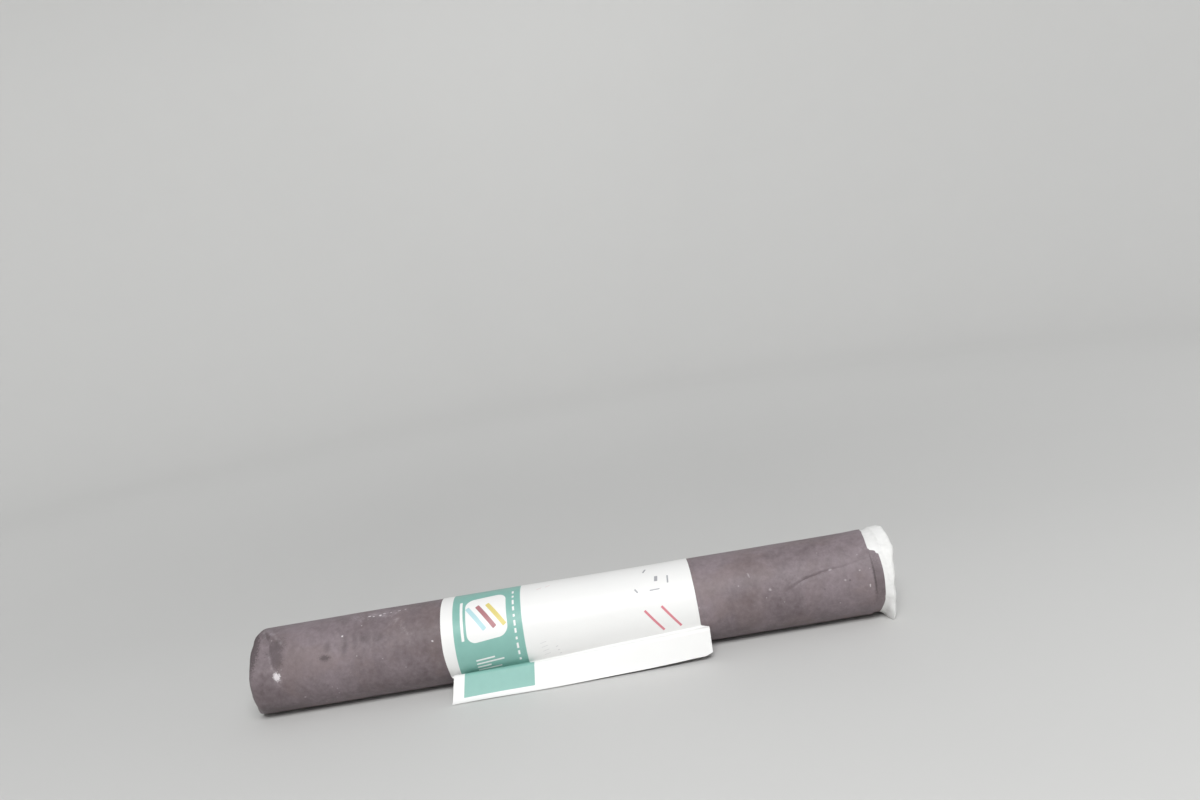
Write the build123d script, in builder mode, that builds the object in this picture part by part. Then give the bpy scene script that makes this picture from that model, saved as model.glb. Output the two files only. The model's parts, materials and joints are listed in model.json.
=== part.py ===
from build123d import *
from math import asin, cos, degrees, pi, radians, sin, sqrt, tan
import os

os.makedirs("parts", exist_ok=True)

# A roll of roofing felt that lies on a level floor, in millimetres. X runs along
# the roll, -Y is its front and +Z is up. The origin is on the bore's axis, half
# way along the felt, so the floor is at z = -roll_radius. Places round the roll
# are angles from the front, rising over the top.

# Felt
felt_width = 1000.0
felt_thickness = 0.65
roll_radius = 67.0
bore_radius = 20.0

# Turns, drawn as bundles that have slipped a little along the roll
bundle_count = 12
bundle_slip = 1.4
slip_step = 2.4

# The two outer turns have slipped left. At the front and top their left edge is
# rolled in over the end, and below and behind it stands out as a collar.
outer_turn_count = 2
outer_slip = 16.0
rim_bend = 9.0
rim_low_angle = -35.0
rim_high_angle = 120.0

# Dent in the front of the left rim, two flat flanks that meet in a slanted valley
valley_top_inset = 13.0
valley_top_angle = 81.0
valley_foot_inset = 39.0
valley_foot_angle = 15.6
dent_flank = 67.0
dent_rim_flank = 81.0

# End wraps, thin sheet wound in under the outer turns and folded over the ends
wrap_thickness = 0.4
wrap_clearance = 0.1
wrap_tuck = 20.0
wrap_opening = 40.0
wrap_lip = 17.0
wrap_start_angle = 46.0
lip_folds = 6

# Label, one sheet glued over the top and front, loose along its lower edge
label_width = 402.0
label_offset = 2.0
label_thickness = 0.4
label_clearance = 0.1
label_top_angle = 115.0
flap_bend = 19.0
flap_reach_left = 104.0
flap_reach_right = 76.0

# Sizes that follow from these
half_width = felt_width / 2
outer_turns = outer_turn_count * felt_thickness
wrap_gap = wrap_thickness + 2 * wrap_clearance
core_radius = roll_radius - outer_turns - wrap_gap
bundle_pitch = (core_radius - bore_radius) / bundle_count
face_x = half_width + bundle_slip + wrap_clearance
outer_turn_end = half_width - outer_slip
tuck_x = half_width - wrap_tuck
rim_x = -face_x - wrap_gap - outer_turns
rim_straight = outer_turn_end - rim_x - rim_bend
rim_fold = felt_width - rim_straight - pi / 2 * (rim_bend - outer_turns / 2)
rim_arc = rim_high_angle - rim_low_angle


def slip(bundle):
    """How far a bundle of turns has slipped to the right."""
    return bundle_slip * sin(slip_step * bundle)


def lip_point(fold, bend):
    """A fold line of the wrap's lip, from the top of the lip round to its foot."""
    turned = pi * fold / lip_folds
    return (bend * sin(turned), bend * cos(turned))


def around(radius, angle):
    """A point of the YZ plane at an angle from the front, rising over the top."""
    return (-radius * cos(radians(angle)), radius * sin(radians(angle)))


# Felt roll
rim_centre = (rim_x + rim_bend, roll_radius - rim_bend)
rim_plane = Plane.XY.rotated((180 - rim_high_angle, 0, 0))
collar_plane = Plane.XY.rotated((180 - rim_low_angle, 0, 0))
with BuildPart() as felt_roll:
    with BuildSketch(rim_plane) as turned_section:
        # Each bundle is as long as the felt is wide
        for bundle in range(bundle_count):
            with Locations((slip(bundle), bore_radius + (bundle + 0.5) * bundle_pitch)):
                Rectangle(felt_width, bundle_pitch)
        # Outer turns, with a slit at the right for the end wrap
        with Locations((rim_centre[0], roll_radius)):
            Rectangle(tuck_x - rim_centre[0], rim_bend, align=(Align.MIN, Align.MAX))
        with Locations((tuck_x, roll_radius)):
            Rectangle(outer_turn_end - tuck_x, outer_turns, align=(Align.MIN, Align.MAX))
        with Locations((tuck_x, roll_radius - outer_turns)):
            Rectangle(wrap_tuck, felt_thickness, align=(Align.MIN, Align.MIN))
    revolve(axis=Axis.X)
    # Rolled rim, a quarter bend and a fold that lies on the left wrap
    with BuildSketch(rim_plane) as rim_section:
        with BuildLine() as rim_outline:
            CenterArc(rim_centre, rim_bend, 90, 90)
            Polyline(
                (rim_x, rim_centre[1]),
                (rim_x, rim_centre[1] - rim_fold),
                (rim_x + outer_turns, rim_centre[1] - rim_fold),
                (rim_x + outer_turns, rim_centre[1]),
                rim_centre,
                (rim_centre[0], roll_radius),
            )
        make_face()
    revolve(axis=Axis.X, revolution_arc=rim_arc)
    # Collar, where the outer turns stand out straight
    with BuildSketch(collar_plane) as collar_section:
        with Locations((outer_turn_end - felt_width, roll_radius)):
            Rectangle(2 * outer_slip, outer_turns, align=(Align.MIN, Align.MAX))
        with Locations((-half_width, roll_radius)):
            Rectangle(outer_slip, rim_bend, align=(Align.MIN, Align.MAX))
    revolve(axis=Axis.X, revolution_arc=360 - rim_arc)
    # Over the top the wrap lies on the second turn, so that turn ends early there
    with BuildSketch(Plane.YZ.offset(outer_turn_end)) as window:
        Circle(2 * roll_radius)
        Circle(core_radius, mode=Mode.SUBTRACT)
        Rectangle(
            4 * roll_radius,
            2 * roll_radius,
            rotation=-wrap_start_angle,
            align=(Align.CENTER, Align.MIN),
            mode=Mode.INTERSECT,
        )
    extrude(amount=2 * outer_slip, mode=Mode.SUBTRACT)
    # Dent, a wedge whose edge is the valley
    valley_top = Vector(rim_x + valley_top_inset, *around(roll_radius, valley_top_angle))
    valley_foot = Vector(rim_x + valley_foot_inset, *around(roll_radius, valley_foot_angle))
    valley_out = Vector(0, *around(1, (valley_top_angle + valley_foot_angle) / 2))
    valley = valley_foot - valley_top
    with BuildSketch(Plane(valley_top, x_dir=valley_out, z_dir=valley)) as dent_section:
        with BuildLine():
            Polyline(
                (0, 0),
                (roll_radius, roll_radius * tan(radians(dent_rim_flank))),
                (roll_radius, -roll_radius * tan(radians(dent_flank))),
                close=True,
            )
        make_face()
    extrude(amount=2 * roll_radius, both=True, mode=Mode.SUBTRACT)
felt_roll.part.label = "felt_roll"
export_step(felt_roll.part, "parts/felt_roll.step")

# Right end wrap: a skirt in the slit, a puffed lip, and a fold in over the turns
wrap_sides = (-wrap_thickness / 2, wrap_thickness / 2)
skirt_radius = core_radius + wrap_gap / 2
skirt_x = tuck_x + wrap_clearance
fold_x = face_x + wrap_thickness / 2
lip_bend = (skirt_radius - wrap_opening) / 3
lip_x = half_width + wrap_lip - lip_bend
lip_foot = skirt_radius - 2 * lip_bend
turn_in = (lip_x - fold_x) / 2
with BuildPart() as end_wrap_right:
    with BuildSketch(Plane.XY) as right_section:
        with BuildLine() as right_outline:
            for side in wrap_sides:
                # The sheet is stiff, so the lip is a few flat folds and no round bend
                lip = [lip_point(fold, lip_bend + side) for fold in range(lip_folds + 1)]
                Polyline(
                    (skirt_x, skirt_radius + side),
                    *[(lip_x + x, skirt_radius - lip_bend + y) for x, y in lip],
                    (fold_x + turn_in + side / 2, lip_foot - side),
                    (fold_x + side, lip_foot - turn_in + side / 2),
                    (fold_x + side, wrap_opening),
                )
            Line(*[(skirt_x, skirt_radius + side) for side in wrap_sides])
            Line(*[(fold_x + side, wrap_opening) for side in wrap_sides])
        make_face()
    revolve(axis=Axis.X)
end_wrap_right.part.label = "end_wrap_right"
export_step(end_wrap_right.part, "parts/end_wrap_right.step")

# Left end wrap: what shows of it lies flat on the turns, held by the rolled rim
with BuildPart() as end_wrap_left:
    with BuildSketch(Plane.YZ.offset(-fold_x - wrap_thickness / 2)) as left_ring:
        Circle(roll_radius - rim_bend - wrap_clearance)
        Circle(wrap_opening, mode=Mode.SUBTRACT)
    extrude(amount=wrap_thickness)
end_wrap_left.part.label = "end_wrap_left"
export_step(end_wrap_left.part, "parts/end_wrap_left.step")

# Label: one sheet over the top and front, loose below, lying out on the floor
label_left = label_offset - label_width / 2
label_sides = (0, label_thickness)
bend_height = flap_bend - roll_radius
with BuildPart() as label:
    with BuildSketch(Plane.YZ.offset(label_left)) as label_section:
        with BuildLine() as label_outline:
            for side in label_sides:
                wound = roll_radius + label_clearance + side
                bend = flap_bend - side
                bend_y = -sqrt((wound + bend) ** 2 - bend_height**2)
                lift_off = degrees(asin(bend_height / (wound + bend)))
                CenterArc((0, 0), wound, 180 - label_top_angle, label_top_angle - lift_off)
                CenterArc((bend_y, bend_height), bend, -lift_off, lift_off - 90)
                Line((bend_y, side - roll_radius), (-flap_reach_left, side - roll_radius))
            Line(*[around(roll_radius + label_clearance + side, label_top_angle) for side in label_sides])
            Line(*[(-flap_reach_left, side - roll_radius) for side in label_sides])
        make_face()
    extrude(amount=label_width)
    with BuildSketch(Plane.XY.offset(-roll_radius)) as skewed_edge:
        with BuildLine():
            Polyline(
                (label_left, -flap_reach_left),
                (label_left + label_width, -flap_reach_right),
                (label_left + label_width, -2 * flap_reach_left),
                (label_left, -2 * flap_reach_left),
                close=True,
            )
        make_face()
    extrude(amount=flap_bend, mode=Mode.SUBTRACT)
label.part.label = "label"
export_step(label.part, "parts/label.step")
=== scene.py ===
import json
import math

import bpy
import numpy as np
from bpy.props import FloatProperty, FloatVectorProperty, IntProperty, PointerProperty
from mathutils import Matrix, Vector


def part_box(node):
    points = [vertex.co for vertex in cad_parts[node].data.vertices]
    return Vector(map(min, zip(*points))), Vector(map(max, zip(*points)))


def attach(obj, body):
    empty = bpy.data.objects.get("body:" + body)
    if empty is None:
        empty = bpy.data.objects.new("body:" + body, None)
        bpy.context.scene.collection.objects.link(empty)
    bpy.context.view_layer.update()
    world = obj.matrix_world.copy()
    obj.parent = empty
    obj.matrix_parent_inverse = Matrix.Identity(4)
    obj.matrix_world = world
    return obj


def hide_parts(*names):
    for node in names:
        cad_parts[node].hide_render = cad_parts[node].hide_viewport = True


bl_info = {
    "name": "Roofing Felt Roll",
    "version": (1, 0, 0),
    "blender": (4, 5, 0),
    "location": "3D View > Sidebar > Felt Roll",
    "description": "Dresses a packed roll of roofing felt with its turns, end wraps and label",
    "category": "Add Mesh",
}

# The frame, and the sizes that follow from it. Lengths are in metres. Angles round
# the roll are in degrees from the front (-Y), rising over the top (+Z).
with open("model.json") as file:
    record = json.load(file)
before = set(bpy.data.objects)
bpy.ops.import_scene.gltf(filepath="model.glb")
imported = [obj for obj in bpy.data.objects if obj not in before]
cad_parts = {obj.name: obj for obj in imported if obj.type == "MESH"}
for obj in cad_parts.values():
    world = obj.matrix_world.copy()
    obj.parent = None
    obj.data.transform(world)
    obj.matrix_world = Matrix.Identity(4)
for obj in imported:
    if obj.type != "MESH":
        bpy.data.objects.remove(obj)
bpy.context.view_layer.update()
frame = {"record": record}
MM = 0.001
FELT_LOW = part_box("felt_roll")[0]
LABEL_LOW, LABEL_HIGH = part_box("label")
BORE = next(mount["dims"] for mount in frame["record"]["mounts"] if mount["name"] == "bore")
HALF_WIDTH = BORE["length_mm"] / 2 * MM
BORE_RADIUS = BORE["r_mm"] * MM
ROLL_RADIUS = -FELT_LOW.z
COLLAR_X = FELT_LOW.x
OUTER_TURN_X = COLLAR_X + 2 * HALF_WIDTH


# Settings

def size_setting(name, description, millimetres):
    """A length that the user can change, given in millimetres and stored in metres."""
    return FloatProperty(
        name=name, description=description, default=millimetres * MM, unit="LENGTH", precision=5
    )


def angle_setting(name, description, degrees):
    """An angle that the user can change."""
    return FloatProperty(name=name, description=description, default=math.radians(degrees), subtype="ANGLE")


def colour_setting(name, description, colour):
    """A linear colour that the user can change."""
    return FloatVectorProperty(
        name=name, description=description, default=colour, size=3, min=0, max=1, subtype="COLOR"
    )


class FeltSettings(bpy.types.PropertyGroup):
    """Sizes and colours of the felt."""

    thickness: size_setting("Thickness", "Thickness of the felt", 0.65)
    tail_angle: angle_setting("Tail", "Where the sheet's outer end lies, behind the top", 148)
    rim_bend: size_setting("Rim bend", "Radius of the bend of the rolled-in rim", 8.9)
    rim_turn: angle_setting("Rim turn", "How far the rolled-in rim turns", 91)
    slip: size_setting("Slip", "How unevenly the turns end", 1.0)
    turn_count: IntProperty(name="Turns", description="Turns that show on an end", default=66)
    seed: IntProperty(name="Seed", description="Seed of everything uneven", default=7)
    dark: colour_setting("Dark", "Saturated felt", (0.114, 0.089, 0.094))
    light: colour_setting("Light", "Dry, rubbed felt", (0.262, 0.218, 0.236))
    brown: colour_setting("Brown", "Browner parts of the felt", (0.205, 0.155, 0.148))
    # Pale dust, and also the colour of the painted highlights on the dent's ridges
    dust: colour_setting("Dust and highlight colour", "Pale dust on the felt", (0.46, 0.42, 0.44))


class WrapSettings(bpy.types.PropertyGroup):
    """Sizes and colours of the end wraps."""

    thickness: size_setting("Thickness", "Thickness of the white sheet", 0.25)
    crumple: size_setting("Crumple", "Height of the creases of the sheet", 0.7)
    opening: size_setting("Opening", "Radius of the hole that each wrap leaves", 39)
    colour: colour_setting("Colour", "White sheet", (0.86, 0.86, 0.85))
    # Patchy grime, and painted shade towards the bottom of the wraps
    grime_and_shade: colour_setting("Grime and shade", "Dirt where the sheet touched the ground", (0.36, 0.37, 0.33))


class LabelSettings(bpy.types.PropertyGroup):
    """Sizes and colours of the label."""

    thickness: size_setting("Thickness", "Thickness of the paper", 0.2)
    top_angle: angle_setting("Top edge", "Where the label's upper edge lies", 115)
    left_leaving: angle_setting("Leaves at left", "Where the sheet's left side leaves the roll", -34.5)
    right_leaving: angle_setting("Leaves at right", "Where the sheet's right side leaves the roll", -15)
    crease: size_setting("Crease", "Radius of the crease where it leaves the roll", 2.5)
    ridge: size_setting("Ridge", "Radius of the ridge below the crease", 5)
    left_flap: size_setting("Left flap", "Length of the loose flap at the left", 70)
    right_flap: size_setting("Right flap", "Length of the loose flap at the right", 54)
    shift: size_setting("Shift", "How far the flap is pushed to the right", 8.2)
    paper: colour_setting("Paper", "White paper", (0.86, 0.86, 0.85))
    panel: colour_setting("Panel", "Printed green panel", (0.22, 0.44, 0.39))
    red: colour_setting("Red", "Red strokes", (0.62, 0.06, 0.12))
    ink: colour_setting("Ink", "Dark print", (0.16, 0.16, 0.20))


class StageSettings(bpy.types.PropertyGroup):
    """The camera, the lights and the floor."""

    lens: FloatProperty(name="Lens", description="Focal length in millimetres", default=27.66)
    camera_pitch: angle_setting("Pitch", "How far the camera looks down", 7.01)
    camera_roll: angle_setting("Roll", "How far the camera is turned about its view", -9.41)
    floor: colour_setting("Floor", "Plain pale floor", (0.64, 0.64, 0.63))


# Curves round the roll, as pairs of an angle and a number of millimetres
RIM_END = ((-180, 2), (-60, 7.5), (-34, 8.5), (-2, 7.6), (25, 6.3), (50, 7.8), (68, 5), (90, 1), (180, 2))
RIGHT_EDGE = (
    (-180, 2), (-90, -1), (-8, -1.8), (21, -1.6), (35, 0.5), (60, 1.7), (84, 4.5), (107, 8), (140, 6),
    (180, 2),
)
EDGE_LIFT = ((-180, 0.4), (-90, 0), (-45, 1), (0, 2.4), (35, 2), (60, 0.6), (120, 0.8), (180, 0.4))
WRAP_PUFF = (
    (-180, 3), (-120, 2.5), (-85, 7), (-52, 18), (-22, 5), (0, 1), (30, 1.5), (55, 3.5), (90, 5), (130, 4),
    (180, 3),
)
WRAP_LIP = (
    (-180, 15), (-90, 15), (-52, 15.5), (-10, 15.5), (25, 20), (50, 25.5), (90, 25), (140, 19), (180, 15),
)

# Sine waves, each with a height, a number of waves round the roll and a phase
EDGE_WAVES = ((0.35, 7, 0), (0.2, 17, math.radians(40)))
TORN_WAVES = ((1.6, 3, 1), (1.1, 5, 0), (0.8, 8, 2), (0.5, 19, 0))
SHEET_WAVES = ((0.4, 17, 0.5), (0.3, 4, 2))
PLEAT_WAVES = ((0.32, 2, 1), (0.24, 3, 2), (0.13, 5, 0))
# The same of a surface, with a height in millimetres and waves along the roll and round it
FELT_WAVES = ((0.25, 9.1, 2, 0.4), (0.15, 23.0, -3, 1.9), (0.10, 47.0, 5, 0.7))
LABEL_WAVES = ((0.35, 19, 3, 0), (0.245, 31, -4, 1))


# Shapes

def smooth(value, start, end):
    """A smooth step from 0 at start to 1 at end."""
    t = np.clip((value - start) / (end - start), 0, 1)
    return t * t * (3 - 2 * t)


def bell(value, centre, width):
    """A smooth bump of height 1."""
    return np.exp(-(((value - centre) / width) ** 2))


def waves(turned, terms):
    """A sum of sine waves."""
    return sum(height * np.sin(count * turned + phase) for height, count, phase in terms)


def wrapped(angle):
    """An angle in degrees brought between -180 and 180."""
    return (np.asarray(angle) + 180) % 360 - 180


def round_curve(angle, stops):
    """A smooth curve round the roll, in metres."""
    at, value = np.array(stops, float).T
    angle = wrapped(angle)
    step = np.clip(np.searchsorted(at, angle, side="right") - 1, 0, len(at) - 2)
    return MM * (value[step] + smooth(angle, at[step], at[step + 1]) * (value[step + 1] - value[step]))


def ridges(points, size):
    """A network of sharp ridges about size apart, from 0 to 1, as creased sheet has."""
    place = points / size
    home = np.floor(place)
    mixing = np.array([[127.1, 269.5, 113.5], [311.7, 183.3, 271.9], [74.7, 246.1, 124.6]])
    near = np.full(points.shape[:-1], 9.0)
    second = near.copy()
    for shift in np.ndindex(3, 3, 3):
        cell = home + np.array(shift) - 1
        centre = cell + np.modf(np.abs(np.sin(cell @ mixing)) * 437.58)[0]
        distance = np.linalg.norm(place - centre, axis=-1)
        second = np.minimum(second, np.maximum(near, distance))
        near = np.minimum(near, distance)
    return 1 - np.clip((second - near) / 0.7, 0, 1)


def pleats(angle, count):
    """Pleats laid one over the next round an end, each rising from 0 to 1 and dropping."""
    w = np.radians(angle)
    place = count * w / (2 * np.pi) + waves(w, PLEAT_WAVES)
    share = place - np.floor(place)
    return share * (1 - smooth(share, 0.86, 1))


def stacked(*parts):
    """Points from their coordinates."""
    return np.stack(np.broadcast_arrays(*parts), -1)


def on_roll(x, angle, radius):
    """Points at a place along the roll, an angle round it and a radius."""
    turned = np.radians(angle)
    return stacked(x, -radius * np.cos(turned), radius * np.sin(turned))


def unrolled(x, angle):
    """Where points of the roll's surface lie on the flat sheet."""
    return stacked(x, ROLL_RADIUS * np.radians(angle))


def polar(points):
    """The place along the roll, the angle round it and the radius of each point."""
    x, y, z = np.moveaxis(points, -1, 0)
    return x, np.degrees(np.arctan2(z, -y)), np.hypot(y, z)


def ripple(x, angle, terms=FELT_WAVES):
    """Slow unevenness of a sheet on the roll."""
    turned = np.radians(angle)
    return MM * sum(
        height * np.sin(along * x + around * turned + phase) for height, along, around, phase in terms
    )


def felt_outside(x, angle, settings):
    """The radius of the felt's outer surface, which grows towards the sheet's outer end."""
    turns_in = (math.degrees(settings.tail_angle) - angle) / 360
    return ROLL_RADIUS + settings.thickness * (0.95 - turns_in) + ripple(x, angle) + crease(x, angle)


# The dent in the left rim: a valley between two flat flanks, from a place at its top to one at its foot
DENT_TOP = (COLLAR_X + 25.6 * MM, 81.0)
DENT_FOOT = (COLLAR_X + 51.6 * MM, 15.6)
DENT_BODY_FLANK = math.radians(67)
DENT_RIM_FLANK = math.radians(81)
DENT_ROUNDING = 1.6 * MM


def dent(x, angle):
    """How far the dent moves a point of the roll's surface."""
    top, foot = (on_roll(*place, ROLL_RADIUS) for place in (DENT_TOP, DENT_FOOT))
    valley = (foot - top) / np.linalg.norm(foot - top)
    out = on_roll(0, (DENT_TOP[1] + DENT_FOOT[1]) / 2, 1)
    out = out - (out @ valley) * valley
    out /= np.linalg.norm(out)
    to_rim = np.cross(valley, out)
    place = on_roll(x, angle, ROLL_RADIUS) - top
    rim_side = place @ (out - to_rim / math.tan(DENT_RIM_FLANK))
    body_side = place @ (out + to_rim / math.tan(DENT_BODY_FLANK))
    both = (rim_side + body_side - np.hypot(rim_side - body_side, DENT_ROUNDING)) / 2
    depth = (both + np.hypot(both, DENT_ROUNDING)) / 2
    return -depth[..., None] * out


def pressed_share(radius):
    """How far the dent reaches into the roll: in full at the surface, and not at all at the bore's wall."""
    return np.clip((radius - BORE_RADIUS) / (ROLL_RADIUS - BORE_RADIUS), 0, 1)[..., None]


def press(points):
    """Moves points of the roll as the dent does."""
    x, angle, radius = polar(points)
    return points + pressed_share(radius) * dent(x, angle)


# Angles between which the rim begins to be rolled in, and between which it stops
RIM_BEGINS, RIM_STOPS = (-82, -25), (108, 153)


def rim_roll(angle):
    """How much of the left rim is rolled in: all of it at the front and top, none at the back."""
    a = wrapped(angle)
    return smooth(a, *RIM_BEGINS) * (1 - smooth(a, *RIM_STOPS))


def rim_end(angle):
    """How far to the left the rolled-in rim reaches."""
    return -HALF_WIDTH - round_curve(angle, RIM_END)


def rolled_rim(flat_x, angle, radius, settings):
    """Where the left rim takes points of the flat sheet: their place along the roll and their radius."""
    # The bend is tighter at the top
    bend_radius = settings.rim_bend * (1 - 0.4 * bell(wrapped(angle), 85, 28))
    along = np.maximum(rim_end(angle) + bend_radius - flat_x, 0)
    bend = bend_radius * settings.rim_turn
    turn = np.maximum(rim_roll(angle) * settings.rim_turn, 0.01)
    bent = np.minimum(along, bend)
    straight = along - bent
    x = flat_x + along - bend / turn * np.sin(turn * bent / bend) - straight * np.cos(turn)
    inward = bend / turn * (1 - np.cos(turn * bent / bend)) + straight * np.sin(turn)
    # The folded part has to gather, because the roll is narrower there
    gathered = smooth(along, 0, 25 * MM) * rim_roll(angle)
    return x - 1.6 * MM * gathered * pleats(angle, 9), radius - inward


def right_edge(angle):
    """Where the outer turn ends at the right: further out over the top than at the front."""
    return OUTER_TURN_X + round_curve(angle, RIGHT_EDGE) + MM * waves(np.radians(angle), EDGE_WAVES)


# A shallow crease in the outer turn: distance from its right edge in millimetres, and angle
CREASE = ((1, 37), (25, 34), (42, 31), (62, 30), (80, 28), (107, 23), (125, 16), (143, 8))


def crease(x, angle):
    """A groove with a low ridge above it, strongest half way along."""
    path = np.array([(OUTER_TURN_X - back * MM, ROLL_RADIUS * math.radians(a)) for back, a in CREASE])
    place = unrolled(x, angle)
    nearest = np.full(x.shape, 1.0)
    above = np.zeros(x.shape)
    along = np.zeros(x.shape)
    for step, (start, end) in enumerate(zip(path[:-1], path[1:])):
        way = end - start
        share = np.clip((place - start) @ way / (way @ way), 0, 1)
        gap = place - start - share[..., None] * way
        distance = np.linalg.norm(gap, axis=-1)
        closer = distance < nearest
        nearest = np.where(closer, distance, nearest)
        above = np.where(closer, np.sign(gap[..., 1]), above)
        along = np.where(closer, (step + share) / (len(path) - 1), along)
    strength = 0.45 + 0.85 * bell(along, 0.62, 0.2)
    groove = bell(nearest, 0, 1.7 * MM)
    ridge = bell(nearest, 4.2 * MM, 2.8 * MM) * (above > 0)
    return MM * strength * (1.1 * ridge - 1.5 * groove)


def smooth_path(controls, count):
    """A smooth line of count points through control points, for many lines at once."""
    knots = np.concatenate([2 * controls[:1] - controls[1:2], controls, 2 * controls[-1:] - controls[-2:-1]])
    places = np.linspace(0, len(controls) - 1 - 1e-9, count)
    step = places.astype(int)
    t = (places - step)[:, None, None]
    a, b, c, d = (knots[step + shift] for shift in range(4))
    return b + 0.5 * t * (c - a + t * (2 * a - 5 * b + 4 * c - d + t * (3 * (b - c) + d - a)))


# Objects

def link(name, mesh):
    """A new object at the origin."""
    made = bpy.data.objects.new(name, mesh)
    bpy.context.scene.collection.objects.link(made)
    return made


def mesh_from_grid(name, points, uv, closed=False):
    """A mesh of four-sided faces from rows of points, with a UV map in metres.

    Its faces point outwards where the rows run along +X and the columns down the front.
    A closed one joins its last column to its first."""
    rows, columns = points.shape[:2]
    index = np.arange(rows * columns).reshape(rows, columns)
    beside = np.roll(index, -1, axis=1) if closed else index[:, 1:]
    own = index if closed else index[:, :-1]
    faces = np.stack([own[:-1], beside[:-1], beside[1:], own[1:]], -1).reshape(-1, 4)
    mesh = bpy.data.meshes.new(name)
    mesh.from_pydata(points.reshape(-1, 3).tolist(), [], faces.tolist())
    layer = mesh.uv_layers.new(name="Surface")
    layer.data.foreach_set("uv", uv.reshape(-1, 2)[faces.ravel()].astype(np.float32).ravel())
    mesh.polygons.foreach_set("use_smooth", [True] * len(mesh.polygons))
    return mesh


SHARP_ANGLE = math.radians(35)


def as_mesh(made):
    """Turns an object's evaluated modifiers into its own plain mesh."""
    bpy.context.view_layer.update()
    evaluated = made.evaluated_get(bpy.context.evaluated_depsgraph_get())
    mesh = bpy.data.meshes.new_from_object(evaluated)
    made.modifiers.clear()
    made.data = mesh
    mesh.set_sharp_from_angle(angle=SHARP_ANGLE)
    return made


INSIDE, OUTSIDE = -1, 1


def thickened(made, thickness, side):
    """Gives a sheet its thickness, on its inside or outside."""
    solid = made.modifiers.new("Thickness", "SOLIDIFY")
    solid.thickness = thickness
    solid.offset = side
    return as_mesh(made)


def move_points(made, change):
    """Replaces a mesh's points by what a function makes of them."""
    points = np.empty(len(made.data.vertices) * 3, np.float32)
    made.data.vertices.foreach_get("co", points)
    moved = change(points.reshape(-1, 3).astype(float))
    made.data.vertices.foreach_set("co", moved.astype(np.float32).ravel())
    made.data.update()


def above_floor(points):
    """Points no lower than the floor that the roll lies on."""
    points[..., 2] = np.maximum(points[..., 2], -ROLL_RADIUS)
    return points


def dress(made, material, slot, *nodes):
    """Gives a piece its material and the body it rides on, and hides the CAD parts of the nodes it stands
    for.
    """
    if not made.data.polygons:
        raise RuntimeError(f"{made.name} has no faces")
    made.data.materials.clear()
    made.data.materials.append(material)
    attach(made, "root")
    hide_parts(*nodes)
    return made


def add_sheet(name, points, uv, thickness, side, material, slot, node, closed=False):
    """Adds a piece made of one sheet."""
    sheet = link(name, mesh_from_grid(name, points, uv, closed))
    return dress(thickened(sheet, thickness, side), material, slot, node)


# Shader nodes

def connect(node, inputs):
    """Links each input that is given as a socket, and sets any other. Returns the node's outputs."""
    for name, value in inputs.items():
        socket = node.inputs[name]
        if isinstance(value, bpy.types.NodeSocket):
            node.id_data.links.new(value, socket)
        else:
            socket.default_value = (*value[:3], 1) if socket.type == "RGBA" else value
    return node.outputs


def add_node(kind, inputs, **settings):
    """Adds a node to the tree of the nodes that feed it. Returns its outputs."""
    tree = next(value.id_data for value in inputs.values() if isinstance(value, bpy.types.NodeSocket))
    node = tree.nodes.new(kind)
    for name, value in settings.items():
        setattr(node, name, value)
    return connect(node, inputs)


def use_group(group, inputs):
    """Places a node group. Returns its outputs."""
    return add_node("ShaderNodeGroup", inputs, node_tree=bpy.data.node_groups[group])


def maths(operation, *values, clamp=False):
    """The output of a Math node."""
    return add_node("ShaderNodeMath", dict(enumerate(values)), operation=operation, use_clamp=clamp)[0]


def vector_maths(operation, *values, output=0):
    """The output of a Vector Math node."""
    return add_node("ShaderNodeVectorMath", dict(enumerate(values)), operation=operation)[output]


def turned_in_plane(vector, turn):
    """A vector turned about Z."""
    return add_node("ShaderNodeVectorRotate", {"Vector": vector, "Angle": turn}, rotation_type="Z_AXIS")[0]


def mixed(share, first, second):
    """Two colours mixed."""
    return add_node("ShaderNodeMix", {0: share, 6: first, 7: second}, data_type="RGBA")[2]


def varied(share, colour, factor):
    """A colour mixed with a lighter or darker one."""
    return mixed(share, colour, [factor * c for c in colour])


def ranged(value, low, high, to_low=0.0, to_high=1.0):
    """A value taken from one range to another along a smooth step."""
    inputs = {"Value": value, "From Min": low, "From Max": high, "To Min": to_low, "To Max": to_high}
    return add_node("ShaderNodeMapRange", inputs, interpolation_type="SMOOTHSTEP")["Result"]


def noise(coordinates, scale, detail=3.0, roughness=0.55, distortion=0.0, output="Fac"):
    """The output of a Noise Texture."""
    inputs = {"Vector": coordinates, "Scale": scale, "Detail": detail, "Roughness": roughness}
    return add_node("ShaderNodeTexNoise", {**inputs, "Distortion": distortion})[output]


def new_group(name, inputs, outputs, kind="ShaderNodeTree"):
    """A new node group. Each socket is given by what it holds, or by its default if that is a number.

    Returns the outputs of its input node, and its output node."""
    tree = bpy.data.node_groups.new(name, kind)
    for in_out, sockets in (("INPUT", inputs), ("OUTPUT", outputs)):
        for socket, value in sockets.items():
            holds = {int: "Int", float: "Float"}.get(type(value), value)
            made = tree.interface.new_socket(name=socket, in_out=in_out, socket_type="NodeSocket" + holds)
            if holds != value:
                made.default_value = value
    return tree.nodes.new("NodeGroupInput").outputs, tree.nodes.new("NodeGroupOutput")


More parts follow.
